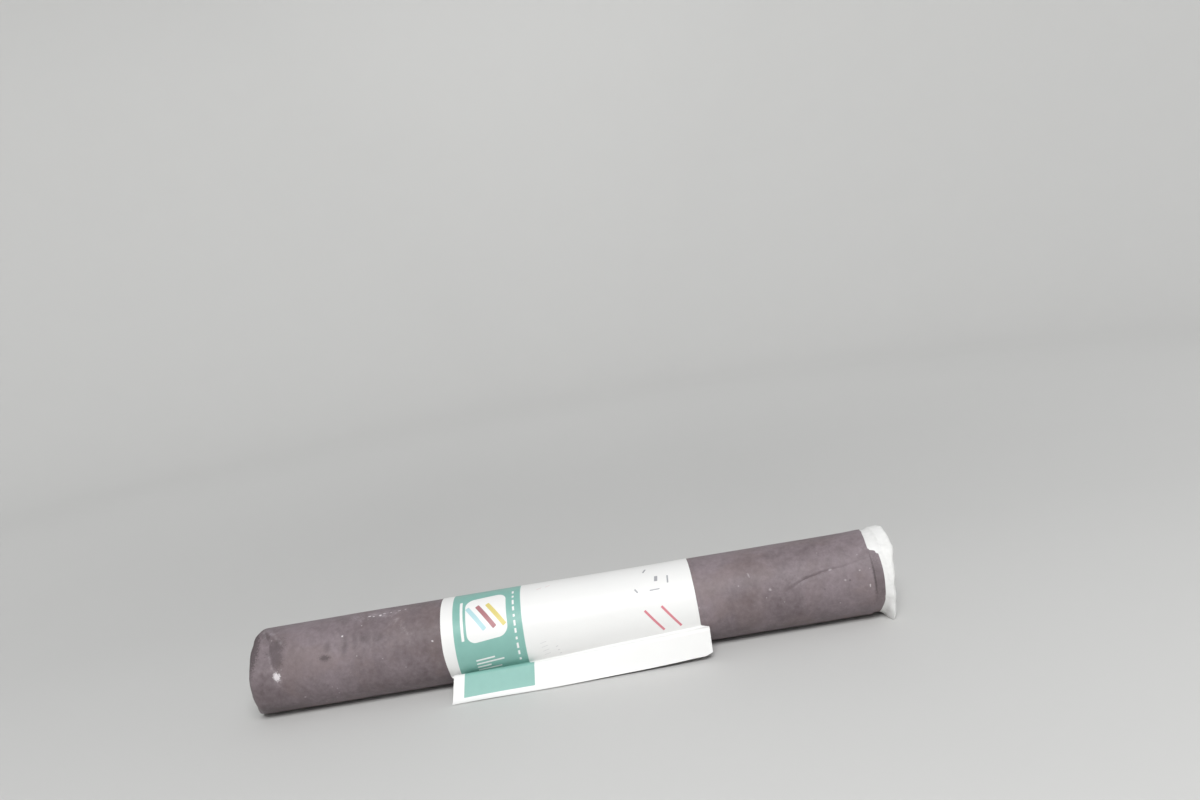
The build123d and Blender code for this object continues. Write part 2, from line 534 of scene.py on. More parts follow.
def build_spot_group():
    """Spot: an oval with a ragged edge, at a place on the surface."""
    inputs = {"Surface": "Vector", "Place": "Vector", "Length": 0.01, "Width": 0.01, "Turn": 0.0}
    inputs.update({"Softness": 0.2, "Raggedness": 2.6, "Grain": 380.0})
    given, result = new_group("Spot", inputs, {"Mask": "Float"})
    offset = vector_maths("SUBTRACT", given["Surface"], given["Place"])
    parts = add_node("ShaderNodeSeparateXYZ", {0: turned_in_plane(offset, given["Turn"])})
    along = maths("DIVIDE", parts[0], given["Length"])
    across = maths("DIVIDE", parts[1], given["Width"])
    squares = [maths("MULTIPLY", side, side) for side in (along, across)]
    distance = maths("SQRT", maths("ADD", *squares))
    ragged = maths("SUBTRACT", noise(given["Surface"], given["Grain"], 4.0, 0.65), 0.5)
    edge = maths("MULTIPLY_ADD", ragged, given["Raggedness"], distance)
    outer = maths("ADD", 1.0, given["Softness"])
    inner = maths("SUBTRACT", 1.0, given["Softness"])
    connect(result, {"Mask": ranged(edge, outer, inner)})


def build_felt_surface_group():
    """Felt surface: the mottled colour, roughness and relief of saturated felt."""
    inputs = {"Surface": "Vector", **dict.fromkeys(("Dark", "Light", "Brown", "Dust and highlight colour"), "Color"), "Dust and highlight": 0.0}
    outputs = {"Color": "Color", "Roughness": "Float", "Height": "Float"}
    given, result = new_group("Felt surface", inputs, outputs)
    surface = given["Surface"]
    broad = noise(surface, 6.5, 3.0, 0.5, 0.3)
    blotch = noise(surface, 42.0, 5.0, 0.62, 0.4)
    cloud = noise(surface, 150.0, 4.0, 0.6)
    fibre = noise(surface, 900.0, 3.0, 0.7, 0.8)
    tone = maths("MULTIPLY_ADD", broad, 0.45, maths("MULTIPLY", blotch, 0.35))
    tone = maths("MULTIPLY_ADD", cloud, 0.22, tone)
    tone = maths("MULTIPLY_ADD", fibre, 0.16, tone)
    colour = mixed(ranged(tone, 0.36, 0.82), given["Dark"], given["Light"])
    browner = ranged(noise(surface, 11.0, 4.0, 0.6, 0.5), 0.46, 0.66, 0.0, 0.7)
    colour = mixed(browner, colour, mixed(0.5, colour, given["Brown"]))
    # Fine pale specks of the talc that keeps the turns apart
    grains = add_node("ShaderNodeTexVoronoi", {"Vector": surface, "Scale": 150.0}, feature="F1")
    chosen = ranged(add_node("ShaderNodeSeparateColor", {0: grains["Color"]})[0], 0.955, 0.965)
    speck = maths("MULTIPLY", chosen, ranged(grains["Distance"], 0.22, 0.12))
    powder = ranged(noise(surface, 75.0, 6.0, 0.75), 0.46, 0.70)
    # This mask carries dust and the painted highlights on the dent's ridges
    dust_and_highlight = maths("MULTIPLY_ADD", given["Dust and highlight"], 1.4, 0.05)
    dust_and_highlight = maths("MULTIPLY_ADD", powder, dust_and_highlight, maths("MULTIPLY", given["Dust and highlight"], 0.25))
    dust_and_highlight = maths("MAXIMUM", dust_and_highlight, maths("MULTIPLY", speck, 0.5), clamp=True)
    relief = maths("MULTIPLY_ADD", fibre, 0.35, maths("MULTIPLY", cloud, 0.4))
    relief = maths("MULTIPLY_ADD", blotch, 0.5, relief)
    relief = maths("MULTIPLY_ADD", speck, 0.35, relief)
    roughness = ranged(tone, 0.3, 0.9, 0.44, 0.60)
    colour = mixed(dust_and_highlight, colour, given["Dust and highlight colour"])
    connect(result, {"Color": colour, "Roughness": roughness, "Height": relief})


def build_crumple_group():
    """Crumple: the small creases of thin sheet, as a height."""
    inputs = {"Surface": "Vector", "Scale": 60.0, "Softness": 0.5}
    given, result = new_group("Crumple", inputs, {"Height": "Float"})
    bent = noise(given["Surface"], given["Scale"], 2.0, 0.5, output="Color")
    shifted = vector_maths("MULTIPLY_ADD", bent, (0.02, 0.02, 0.02), given["Surface"])
    inputs = {"Vector": shifted, "Scale": given["Scale"], "Smoothness": given["Softness"]}
    folds = add_node("ShaderNodeTexVoronoi", inputs, feature="SMOOTH_F1")["Distance"]
    fine = noise(given["Surface"], maths("MULTIPLY", given["Scale"], 9.0))
    connect(result, {"Height": maths("MULTIPLY_ADD", fine, 0.12, folds)})


def build_printed_box_group():
    """Printed box: a box with round corners, at a place on the paper."""
    inputs = {"Paper": "Vector", "Centre": "Vector", "Half size": "Vector", "Turn": 0.0, "Corner": 0.001}
    given, result = new_group("Printed box", inputs, {"Mask": "Float"})
    offset = vector_maths("SUBTRACT", given["Paper"], given["Centre"])
    turned = turned_in_plane(offset, given["Turn"])
    flat = vector_maths("MULTIPLY", vector_maths("ABSOLUTE", turned), (1, 1, 0))
    corner = add_node("ShaderNodeCombineXYZ", {0: given["Corner"], 1: given["Corner"], 2: 0.0})[0]
    past = vector_maths("ADD", vector_maths("SUBTRACT", flat, given["Half size"]), corner)
    outside = vector_maths("LENGTH", vector_maths("MAXIMUM", past, (0, 0, 0)), output="Value")
    distance = maths("SUBTRACT", outside, given["Corner"])
    connect(result, {"Mask": ranged(distance, 0.25 * MM, -0.25 * MM)})


def new_material(name):
    """A node material. Returns it with its shader and its texture coordinates."""
    material = bpy.data.materials.new(name)
    material.use_nodes = True
    nodes = material.node_tree.nodes
    return material, nodes["Principled BSDF"], nodes.new("ShaderNodeTexCoord").outputs


def bumpy(height, strength, millimetres):
    """The normal of a surface with a relief."""
    inputs = {"Height": height, "Strength": strength, "Distance": millimetres * MM}
    return add_node("ShaderNodeBump", inputs)[0]


# Marks on the felt: place along the roll and round it, half length and half width in
# millimetres, turn in degrees, softness and strength
CHIPS = (
    (-461.5, 10, 5.0, 6.0, -15, 0.35, 0.95),
    (-355.7, 50, 1.7, 1.5, 0, 0.3, 0.75),
    (-213, 23, 2.0, 1.3, 35, 0.3, 0.75),
    (-427, -27, 1.5, 0.9, 0, 0.3, 0.5),
    (-316, 79, 2.2, 1.6, 15, 0.4, 0.85),
    (-309, 77, 1.6, 1.4, 0, 0.4, 0.7),
    (-298, 77, 2.0, 2.2, -20, 0.4, 0.85),
    (-292, 80, 1.8, 1.2, 0, 0.4, 0.6),
    (-281, 80, 1.5, 1.2, 10, 0.4, 0.6),
    (-268, 81, 2.4, 1.0, 0, 0.4, 0.55),
    (-258, 82, 1.8, 1.0, 0, 0.4, 0.55),
    (-326, 62, 0.9, 0.9, 0, 0.4, 0.6),
    (292, 41, 1.3, 3.2, -10, 0.6, 0.22),
    (321, 17, 2.2, 1.6, 20, 0.6, 0.30),
    (419, 30, 2.2, 1.4, 0, 0.5, 0.35),
    (476, 1.5, 1.0, 2.2, 0, 0.4, 0.55),
    (464, 23, 1.4, 1.2, 0, 0.5, 0.35),
    (439, 13.5, 1.7, 1.3, 0, 0.5, 0.30),
)
# Pale smears: real dust, and painted highlights along the ridges of the dent in the left rim
DUST_AND_HIGHLIGHT_SMEARS = (
    (-300, 79, 42, 8, 0, 0.95, 0.34),
    (-305, 74, 22, 5, 0, 0.95, 0.22),
    (-272, 62, 9, 5, -35, 0.9, 0.26),
    (-258, 50, 4.5, 9, -15, 0.9, 0.26),
    (-251, 35, 4, 8, 0, 0.9, 0.20),
    (-461, 9, 8, 10, 0, 0.95, 0.30),
    # Painted highlights along the ridges of the dent in the left rim
    (-477, 80, 4, 14, -38, 0.9, 0.42),
    (-465, 66, 2.4, 25, -39, 0.95, 0.62),
    (-480, 54, 2.2, 31, -17, 0.95, 0.66),
    (476, 50, 10, 7, 0, 0.95, 0.16),
)
# Darker marks: real stains, and painted shade in the dent of the left rim, on the band at the right end and
# low on the front at the left
STAINS_AND_SHADE = (
    (-384, 24, 7.5, 4.5, 10, 0.6, 0.65),
    (-380, 37, 4, 7, 0, 0.9, 0.35),
    (-352, 33, 4, 12, 5, 0.9, 0.35),
    (-335, 40, 4, 11, 0, 0.9, 0.35),
    (-320, 42, 8, 8, 0, 0.9, 0.35),
    (-300, 41, 8, 6, 0, 0.9, 0.30),
    # Painted shade on the flanks of the dent and in the crescent where the left rim turns in
    (-465, 52, 17, 14, -10, 0.35, 0.45),
    (-461, 34, 10, 18, -12, 0.35, 0.45),
    (-484, 73, 5, 11, -30, 0.4, 0.45),
    (-503, 56, 9, 40, 0, 0.3, 0.7),
    # Painted shadow on the second turn's band, beside the outer turn's right edge
    (486, 10, 1.8, 30, 0, 0.6, 0.7),
    (493, 8, 9, 32, 0, 0.4, 0.35),
    # Painted shade low on the front of the roll at the left
    (-470, -48, 40, 10, 0, 1.0, 0.4),
    (446, 12, 1.4, 1.4, 0, 0.3, 0.5),
    (405, 6, 0.9, 0.9, 0, 0.3, 0.5),
)
CHIP_COLOUR = (0.74, 0.70, 0.72)


def marks(surface, places):
    """The strongest of several spots, as a mask."""
    total = 0.0
    for x, angle, length, width, turn, softness, strength in places:
        inputs = {
            "Surface": surface,
            "Place": (x * MM, ROLL_RADIUS * math.radians(angle), 0),
            "Length": length * MM,
            "Width": width * MM,
            "Turn": math.radians(turn),
            "Softness": softness,
        }
        spot = use_group("Spot", inputs)["Mask"]
        total = maths("MAXIMUM", maths("MULTIPLY", spot, strength), total)
    return total


def build_felt_material(name, settings, outside):
    """Saturated felt. The outside has marks at places on its surface: stains, dust and pale chips, with
    painted shade and painted highlights among them.
    """
    material, shader, coordinates = new_material(name)
    inputs = {
        "Surface": coordinates["Object"],
        "Dark": settings.dark,
        "Light": settings.light,
        "Brown": settings.brown,
        "Dust and highlight colour": settings.dust,
    }
    if outside:
        # Dust smears, and painted highlights on the dent's ridges
        inputs["Dust and highlight"] = marks(coordinates["UV"], DUST_AND_HIGHLIGHT_SMEARS)
    felt = use_group("Felt surface", inputs)
    colour = felt["Color"]
    if outside:
        # Darker marks, which are stains and painted shade, and then pale chips
        stain_and_shade_colour = [0.55 * c for c in settings.dark]
        for places, tint in ((STAINS_AND_SHADE, stain_and_shade_colour), (CHIPS, CHIP_COLOUR)):
            colour = mixed(marks(coordinates["UV"], places), colour, tint)
    normal = bumpy(felt["Height"], 0.55, 0.5)
    looks = {"Base Color": colour, "Roughness": felt["Roughness"], "Normal": normal}
    connect(shader, {**looks, "Specular IOR Level": 0.3})
    return material


def build_wrap_material(name, settings):
    """Thin white sheet, crumpled, with grime in patches and painted shade towards its bottom."""
    material, shader, coordinates = new_material(name)
    place = coordinates["Object"]
    height = add_node("ShaderNodeSeparateXYZ", {0: place})[2]
    # Painted shade: the grey grows stronger towards the bottom of each wrap, over the patchy grime
    low = ranged(height, -0.6 * ROLL_RADIUS, -ROLL_RADIUS)
    patches = ranged(noise(place, 38.0, 5.0, 0.6), 0.42, 0.7)
    grime_and_shade = maths("MULTIPLY", maths("MAXIMUM", low, 0.12), patches)
    tint = varied(noise(place, 130.0), settings.colour, 0.95)
    colour = mixed(grime_and_shade, tint, settings.grime_and_shade)
    roughness = ranged(patches, 0.0, 1.0, 0.5, 0.65)
    creases = use_group("Crumple", {"Surface": place, "Scale": 75.0})["Height"]
    normal = bumpy(creases, 0.5, 1.2)
    connect(shader, {"Base Color": colour, "Roughness": roughness, "Normal": normal})
    return material


# The print, in millimetres from the label's left edge and its loose lower edge:
# centre, half size, turn in degrees, corner and colour
PANEL_LEFT, PANEL_RIGHT, PANEL_FOOT = 19.5, 128.5, 13
WINDOW = ((72.5, 158), (32.5, 38), 0, 15)
WINDOW_BARS = [
    ((x, 158), (3.4, 25), -32, 1.5, tone) for x, tone in ((56, "sky"), (72, "brick"), (88, "straw"))
]
EDGE_BARS = [
    ((116.5, 194 - 11.8 * row), (1.6, (3.6, 2.2, 4.4)[row % 3]), 0, 0.6, "paper") for row in range(11)
]
LINES = [
    ((48 + 0.5 * reach, 91 - 6.6 * row), (0.5 * reach, 1.4), 0, 0.6, "paper")
    for row, reach in enumerate((30, 44, 22, 38))
]
RULES = [
    *[((156 + 1.2 * row, 94 - 7 * row), (5, 0.35), -8, 0.2, "rule") for row in range(4)],
    *[((176 + 2 * row, 82 - 7 * row), (1.8, 0.6), -8, 0.2, "rule") for row in range(3)],
    *[((159 + 14 * row, 188 + 2 * row), (4, 0.7), -20, 0.2, "blush") for row in range(2)],
]
INK_MARKS = [
    ((330, 171), (1.4, 5), 30, 0.5, "ink"),
    ((346, 147), (2.6, 5), 10, 0.5, "ink"),
    ((341, 128), (8, 1), 4, 0.5, "ink"),
    ((312, 133), (4, 1.2), 60, 0.5, "ink"),
    ((364, 141), (1.2, 7), 6, 0.5, "ink"),
]
RED_STROKES = [((x, 81), (1.8, 23), -34, 0.8, "red") for x in (332.5, 359.5)]
UPRIGHT_BAR = ((33.5, 161), (2.2, 34), 0, 1, "paper")
PRINT = (*WINDOW_BARS, UPRIGHT_BAR, *EDGE_BARS, *LINES, *RULES, *INK_MARKS, *RED_STROKES)


def build_label_material(name, settings, print_length):
    """White paper with a plain green panel and a few plain printed shapes."""
    material, shader, coordinates = new_material(name)
    paper = coordinates["UV"]

    def box(centre, half, turn=0.0, corner=1.0):
        inputs = {
            "Paper": paper,
            "Centre": (centre[0] * MM, centre[1] * MM, 0),
            "Half size": (half[0] * MM, half[1] * MM, 0),
            "Turn": math.radians(turn),
            "Corner": corner * MM,
        }
        return use_group("Printed box", inputs)["Mask"]

    colour = varied(noise(paper, 14.0, 4.0), settings.paper, 0.965)
    middle, half_width = (PANEL_RIGHT + PANEL_LEFT) / 2, (PANEL_RIGHT - PANEL_LEFT) / 2
    panel = box((middle, PANEL_FOOT + print_length), (half_width, print_length))
    colour = mixed(panel, colour, varied(noise(paper, 60.0), settings.panel, 1.12))
    colour = mixed(box(*WINDOW), colour, settings.paper)
    # Each tone of the print, with its strength
    tones = {
        "paper": (settings.paper, 1),
        "sky": ((0.45, 0.68, 0.72), 1),
        "brick": ((0.42, 0.18, 0.20), 1),
        "straw": ((0.70, 0.60, 0.20), 1),
        "blush": ((0.70, 0.50, 0.50), 0.6),
        "rule": (settings.ink, 0.3),
        "ink": (settings.ink, 0.7),
        "red": (settings.red, 0.8),
    }
    for *place, tone in PRINT:
        print_colour, strength = tones[tone]
        colour = mixed(maths("MULTIPLY", box(*place), strength), colour, print_colour)
    creases = use_group("Crumple", {"Surface": paper, "Scale": 22.0})["Height"]
    normal = bumpy(creases, 0.25, 0.8)
    connect(shader, {"Base Color": colour, "Roughness": 0.42, "Normal": normal})
    return material


# Geometry Nodes: the wound turns that show on an end

def build_turns_tree():
    """Wound turns: a spiral of sheet, whose turns end a little unevenly."""
    inputs = {
        "Turns": 60.0,
        "Inner radius": 0.02,
        "Outer radius": 0.065,
        "Sheet": 0.0006,
        "Depth": 0.03,
        "Centre": 0.5,
        "Slip": 0.001,
        "Seed": 0.0,
        "Steps": 72,
        "Material": "Material",
    }
    given, result = new_group("Wound turns", inputs, {"Geometry": "Geometry"}, kind="GeometryNodeTree")
    tree = result.id_data
    windings = {
        "Resolution": given["Steps"],
        "Rotations": given["Turns"],
        "Start Radius": given["Inner radius"],
        "End Radius": given["Outer radius"],
        "Height": 0.0,
    }
    spiral = add_node("GeometryNodeCurveSpiral", windings)[0]
    upright = add_node("GeometryNodeSetCurveNormal", {"Curve": spiral}, mode="Z_UP")[0]
    along = tree.nodes.new("GeometryNodeSplineParameter").outputs["Factor"]
    turn = maths("MULTIPLY", along, given["Turns"])
    kept = tree.nodes.new("GeometryNodeCaptureAttribute")
    kept.capture_items.new("FLOAT", "Turn")
    curve = connect(kept, {0: upright, "Turn": turn})
    strip = {"Width": given["Sheet"], "Height": given["Depth"]}
    section = add_node("GeometryNodeCurvePrimitiveQuadrilateral", strip)[0]
    swept = {"Curve": curve[0], "Profile Curve": section, "Fill Caps": True}
    sheet = add_node("GeometryNodeCurveToMesh", swept)[0]
    # Each turn slips a little along the roll
    drift = {"W": maths("ADD", curve["Turn"], given["Seed"]), "Scale": 0.9, "Detail": 3.0}
    uneven = add_node("ShaderNodeTexNoise", drift, noise_dimensions="1D")["Fac"]
    reach = maths("MULTIPLY", given["Slip"], 4.0)
    slipped = maths("MULTIPLY", maths("SUBTRACT", uneven, 0.5), reach)
    place = add_node("ShaderNodeCombineXYZ", {2: maths("ADD", slipped, given["Centre"])})[0]
    placed = add_node("GeometryNodeSetPosition", {"Geometry": sheet, "Offset": place})[0]
    lengthwise = {"Geometry": placed, "Rotation": (math.pi / 2, 0, math.pi / 2)}
    lying = add_node("GeometryNodeTransform", lengthwise)[0]
    whole = add_node("GeometryNodeRealizeInstances", {"Geometry": lying})[0]
    coated = add_node("GeometryNodeSetMaterial", {"Geometry": whole, "Material": given["Material"]})[0]
    connect(result, {"Geometry": coated})
    return tree


def with_nodes(name, tree, values):
    """A new object whose mesh a node tree makes."""
    made = link(name, bpy.data.meshes.new(name))
    modifier = made.modifiers.new(tree.name, "NODES")
    modifier.node_group = tree
    for socket in tree.interface.items_tree:
        if socket.item_type == "SOCKET" and socket.in_out == "INPUT" and socket.name in values:
            modifier[socket.identifier] = values[socket.name]
    return as_mesh(made)


# Pieces

# How far a sheet laps past one turn, in degrees
TAIL_LAP, BORE_LAP = 16, 25
# How deep the pieces at the ends reach into the roll
SECOND_TURN_DEPTH, TURNS_DEPTH, WRAP_TUCK = 40 * MM, 28 * MM, 22 * MM
# How far the wound turns lie below the roll's surface, and stand back from its left end
TURNS_GAP = 2.4 * MM
# The left turns stay inside the rim's bend by this gap, where they come this close to the end
RIM_INSIDE, RIM_GAP, RIM_REACH = 9 * MM, 2.2 * MM, 8 * MM
# Creases of the wraps: relative height, shift of the pattern and size in millimetres
WRAP_FOLDS = ((1, 0, 17), (-0.8, 1, 9), (0.3, 2, 5))
# The label's radius where it is loose, and its gap to the felt where it is glued
LABEL_RADIUS, LABEL_GAP = ROLL_RADIUS + 0.9 * MM, 0.1 * MM


class AddOuterTurns(bpy.types.Operator):
    """Adds the felt's outer turn, with its rolled rim, dent and crease, and the turn below it."""

    bl_idname = "felt_roll.add_outer_turns"
    bl_label = "Outer Turns"

    def execute(self, context):
        settings = context.scene.felt_settings
        material = build_felt_material("Felt outside", settings, outside=True)
        tail = math.degrees(settings.tail_angle)
        # The points lie closer together at the front, in the rim and near the right edge
        around = ((tail, 120, 11, False), (120, -40, 159, False), (-40, tail - 360 - TAIL_LAP, 79))
        along = (
            (COLLAR_X / MM, -484, 26),
            (-482, -440, 24),
            (-434, 350, 80),
            (354, 450, 34),
            (453, OUTER_TURN_X / MM, 18),
        )
        flat, angle = (np.concatenate([np.linspace(*span) for span in spans]) for spans in (along, around))
        x, a = np.meshgrid(flat * MM, angle, indexing="ij")
        x = x + smooth(x, OUTER_TURN_X - 50 * MM, OUTER_TURN_X) * (right_edge(a) - OUTER_TURN_X)
        lift = round_curve(a, EDGE_LIFT) * smooth(x, OUTER_TURN_X - 22 * MM, OUTER_TURN_X + 2 * MM)
        bent_x, radius = rolled_rim(x, a, felt_outside(x, a, settings) + lift, settings)
        points = on_roll(bent_x, a, radius) + pressed_share(radius) * dent(bent_x, a)
        sheet = above_floor(points), unrolled(x, a)
        looks = (settings.thickness, INSIDE, material, "felt", "felt_roll")
        add_sheet("felt_outer_turn", *sheet, *looks)

        # The second turn shows only at the right end
        across = np.linspace(HALF_WIDTH - SECOND_TURN_DEPTH, HALF_WIDTH, 16)
        x, a = np.meshgrid(across, np.linspace(180, -180, 240, endpoint=False), indexing="ij")
        x = x + 0.5 * MM * smooth(x, HALF_WIDTH - 10 * MM, HALF_WIDTH) * np.sin(np.radians(5 * a))
        radius = ROLL_RADIUS + settings.thickness * (wrapped(a - tail) % 360 / 360 - 2.1) + ripple(x, a)
        sheet = above_floor(on_roll(x, a, radius)), unrolled(x, a)
        add_sheet("felt_second_turn", *sheet, *looks, closed=True)
        return {"FINISHED"}


class AddWoundTurns(bpy.types.Operator):
    """Adds the wound turns that show on both ends, and the wall of the bore."""

    bl_idname = "felt_roll.add_wound_turns"
    bl_label = "Wound Turns"

    def execute(self, context):
        settings = context.scene.felt_settings
        material = build_felt_material("Felt edges", settings, outside=False)
        tree = build_turns_tree()
        inner = BORE_RADIUS + settings.thickness
        outer = ROLL_RADIUS - TURNS_GAP
        values = {
            "Turns": float(settings.turn_count),
            "Inner radius": inner,
            "Outer radius": outer,
            "Sheet": 0.86 * (outer - inner) / settings.turn_count,
            "Depth": TURNS_DEPTH,
            "Slip": settings.slip,
            "Material": material,
        }
        for name, centre, seed in (
            ("felt_turns_right", HALF_WIDTH - TURNS_DEPTH / 2, settings.seed),
            ("felt_turns_left", TURNS_DEPTH / 2 - HALF_WIDTH + TURNS_GAP, settings.seed + 31),
        ):
            turns = with_nodes(name, tree, {**values, "Centre": centre, "Seed": float(seed)})
            if centre < 0:
                move_points(turns, lambda points: press(inside_rim(points)))
            dress(turns, material, "felt", "felt_roll")

        # The wall of the bore is wound a little more than once
        across = np.linspace(MM - HALF_WIDTH, HALF_WIDTH - MM, 60)
        x, a = np.meshgrid(across, np.linspace(0, 360 + BORE_LAP, 120), indexing="ij")
        radius = BORE_RADIUS + 0.12 * MM + settings.thickness * a / 360
        sheet = on_roll(x, 70 - a, radius), stacked(x, radius * np.radians(a))
        add_sheet("felt_bore", *sheet, settings.thickness, OUTSIDE, material, "felt", "felt_roll")
        return {"FINISHED"}


def inside_rim(points):
    """Pushes the ends of the left turns back under the rolled rim, as the real ones are crushed."""
    x, angle, radius = polar(points)
    past_bend = np.clip(radius - ROLL_RADIUS + RIM_INSIDE, 0, RIM_INSIDE)
    limit = rim_end(angle) + RIM_INSIDE - np.sqrt(RIM_INSIDE**2 - past_bend**2) + RIM_GAP
    pushed = np.where(x < RIM_REACH - HALF_WIDTH, np.maximum(x, limit), x)
    moved = points.copy()
    moved[..., 0] = x + rim_roll(angle) * (pushed - x)
    return moved


def right_wrap_path(angle, opening, felt_thickness):
    """The right wrap: puffed at the top, hanging out on the floor at its lower front."""
    end = HALF_WIDTH
    w = np.radians(angle)
    wavy = 0.5 * np.sin(9 * w + 1.3 * np.sin(2 * w)) + waves(w, SHEET_WAVES)
    proud = round_curve(angle, WRAP_PUFF) + 0.45 * MM * wavy
    lip_x = end + round_curve(angle, WRAP_LIP) + 0.5 * MM * wavy
    folds = MM * pleats(angle, 13)
    fold = 2.2 * folds
    inner = opening + MM * waves(w, TORN_WAVES) + 1.5 * folds

    def skirt(x):
        """Its radius where it leaves the felt: over the second turn at the top, under it elsewhere."""
        corner = 50 - 10 * (x - OUTER_TURN_X) / (16 * MM)
        over = smooth(angle, corner, corner + 4) * (1 - smooth(angle, 145, 150))
        return ROLL_RADIUS - felt_thickness * (3.3 - 2.5 * over)

    return [
        (end - WRAP_TUCK, skirt(end - WRAP_TUCK)),
        (OUTER_TURN_X - 3 * MM, skirt(OUTER_TURN_X)),
        (end - 9 * MM, skirt(end - 9 * MM) + 0.1 * MM),
        (end + 0.5 * MM, skirt(end) + 0.2 * MM + 0.2 * proud),
        (end + 5 * MM, skirt(end) + 0.5 * MM + 0.65 * proud),
        (end + 8.5 * MM, ROLL_RADIUS - 1.2 * MM + 0.9 * proud),
        (lip_x - 4 * MM, ROLL_RADIUS - 1.2 * MM + proud),
        (lip_x, ROLL_RADIUS - 6 * MM + 0.8 * proud),
        (lip_x - MM + 0.5 * fold, ROLL_RADIUS - 13 * MM + 0.2 * proud),
        (end + 7 * MM + fold, ROLL_RADIUS - 19 * MM),
        (end + 2.4 * MM + fold, ROLL_RADIUS - 21 * MM),
        (end + 1.9 * MM + 0.7 * fold, inner + 3 * MM),
        (end + 1.7 * MM + fold, inner),
    ]


def left_wrap_path(angle, opening):
    """The left wrap: under the rolled rim at the front and top, and up inside the collar elsewhere."""
    rolled = rim_roll(angle)
    bend, bend_radius = 7.6 * MM, ROLL_RADIUS - 8.9 * MM
    bend_x = rim_end(angle) + 8.9 * MM - 7.5 * MM * (1 - rolled)
    face = 1.1 * MM - HALF_WIDTH
    folds = MM * pleats(angle, 11)
    fold = 0.9 * folds * (1 - 0.7 * rolled)
    inner = opening + MM * waves(np.radians(angle), TORN_WAVES)[::-1] + 1.5 * folds
    quarter = np.radians((0, 30, 60, 90))
    return [
        (WRAP_TUCK - HALF_WIDTH, bend_radius + bend),
        *[(bend_x - bend * math.sin(turn), bend_radius + bend * math.cos(turn)) for turn in quarter],
        (face + 0.9 * (bend_x - bend - face), bend_radius - 5 * MM),
        (face - 0.4 * MM - fold, bend_radius - 10 * MM),
        (face - fold, inner + 4 * MM),
        (face - 0.9 * folds, inner),
    ]


class AddEndWraps(bpy.types.Operator):
    """Adds the white sheets that are wound in under the outer turns and folded in over the ends."""

    bl_idname = "felt_roll.add_end_wraps"
    bl_label = "End Wraps"

    def execute(self, context):
        settings = context.scene.wrap_settings
        material = build_wrap_material("White sheet", settings)
        angle = np.linspace(180, -180, 360, endpoint=False)
        right = right_wrap_path(angle, settings.opening, context.scene.felt_settings.thickness)
        left = left_wrap_path(angle, settings.opening)
        for end, path, count in (("right", right, 90), ("left", left, 70)):
            # A place along the roll and a radius, for each step of the path and each angle
            path = smooth_path(np.stack([stacked(x + 0 * angle, radius) for x, radius in path]), count)
            x, radius = np.moveaxis(path, -1, 0)
            points = on_roll(x, angle, radius)
            steps = np.linalg.norm(np.diff(path, axis=0, prepend=path[:1]), axis=-1)
            uv = unrolled(np.cumsum(steps, axis=0), angle)
            # The creases start where the sheet leaves the felt
            free = smooth(np.abs(x), HALF_WIDTH - 4 * MM, HALF_WIDTH + 4 * MM)
            free = free * (1 - rim_roll(angle) * (x < 0))
            folds = sum(height * ridges(points + shift, size * MM) for height, shift, size in WRAP_FOLDS)
            outward = on_roll(0.5 * np.sign(x), angle, 1)
            points = above_floor(points + (settings.crumple * free * folds)[..., None] * outward)
            if end == "left":
                points, uv = press(points)[:, ::-1], uv[:, ::-1]
            node = "end_wrap_" + end
            looks = (settings.thickness, INSIDE, material, "wrap", node)
            sheet = add_sheet(node + "_sheet", points, uv, *looks, closed=True)
        return {"FINISHED"}


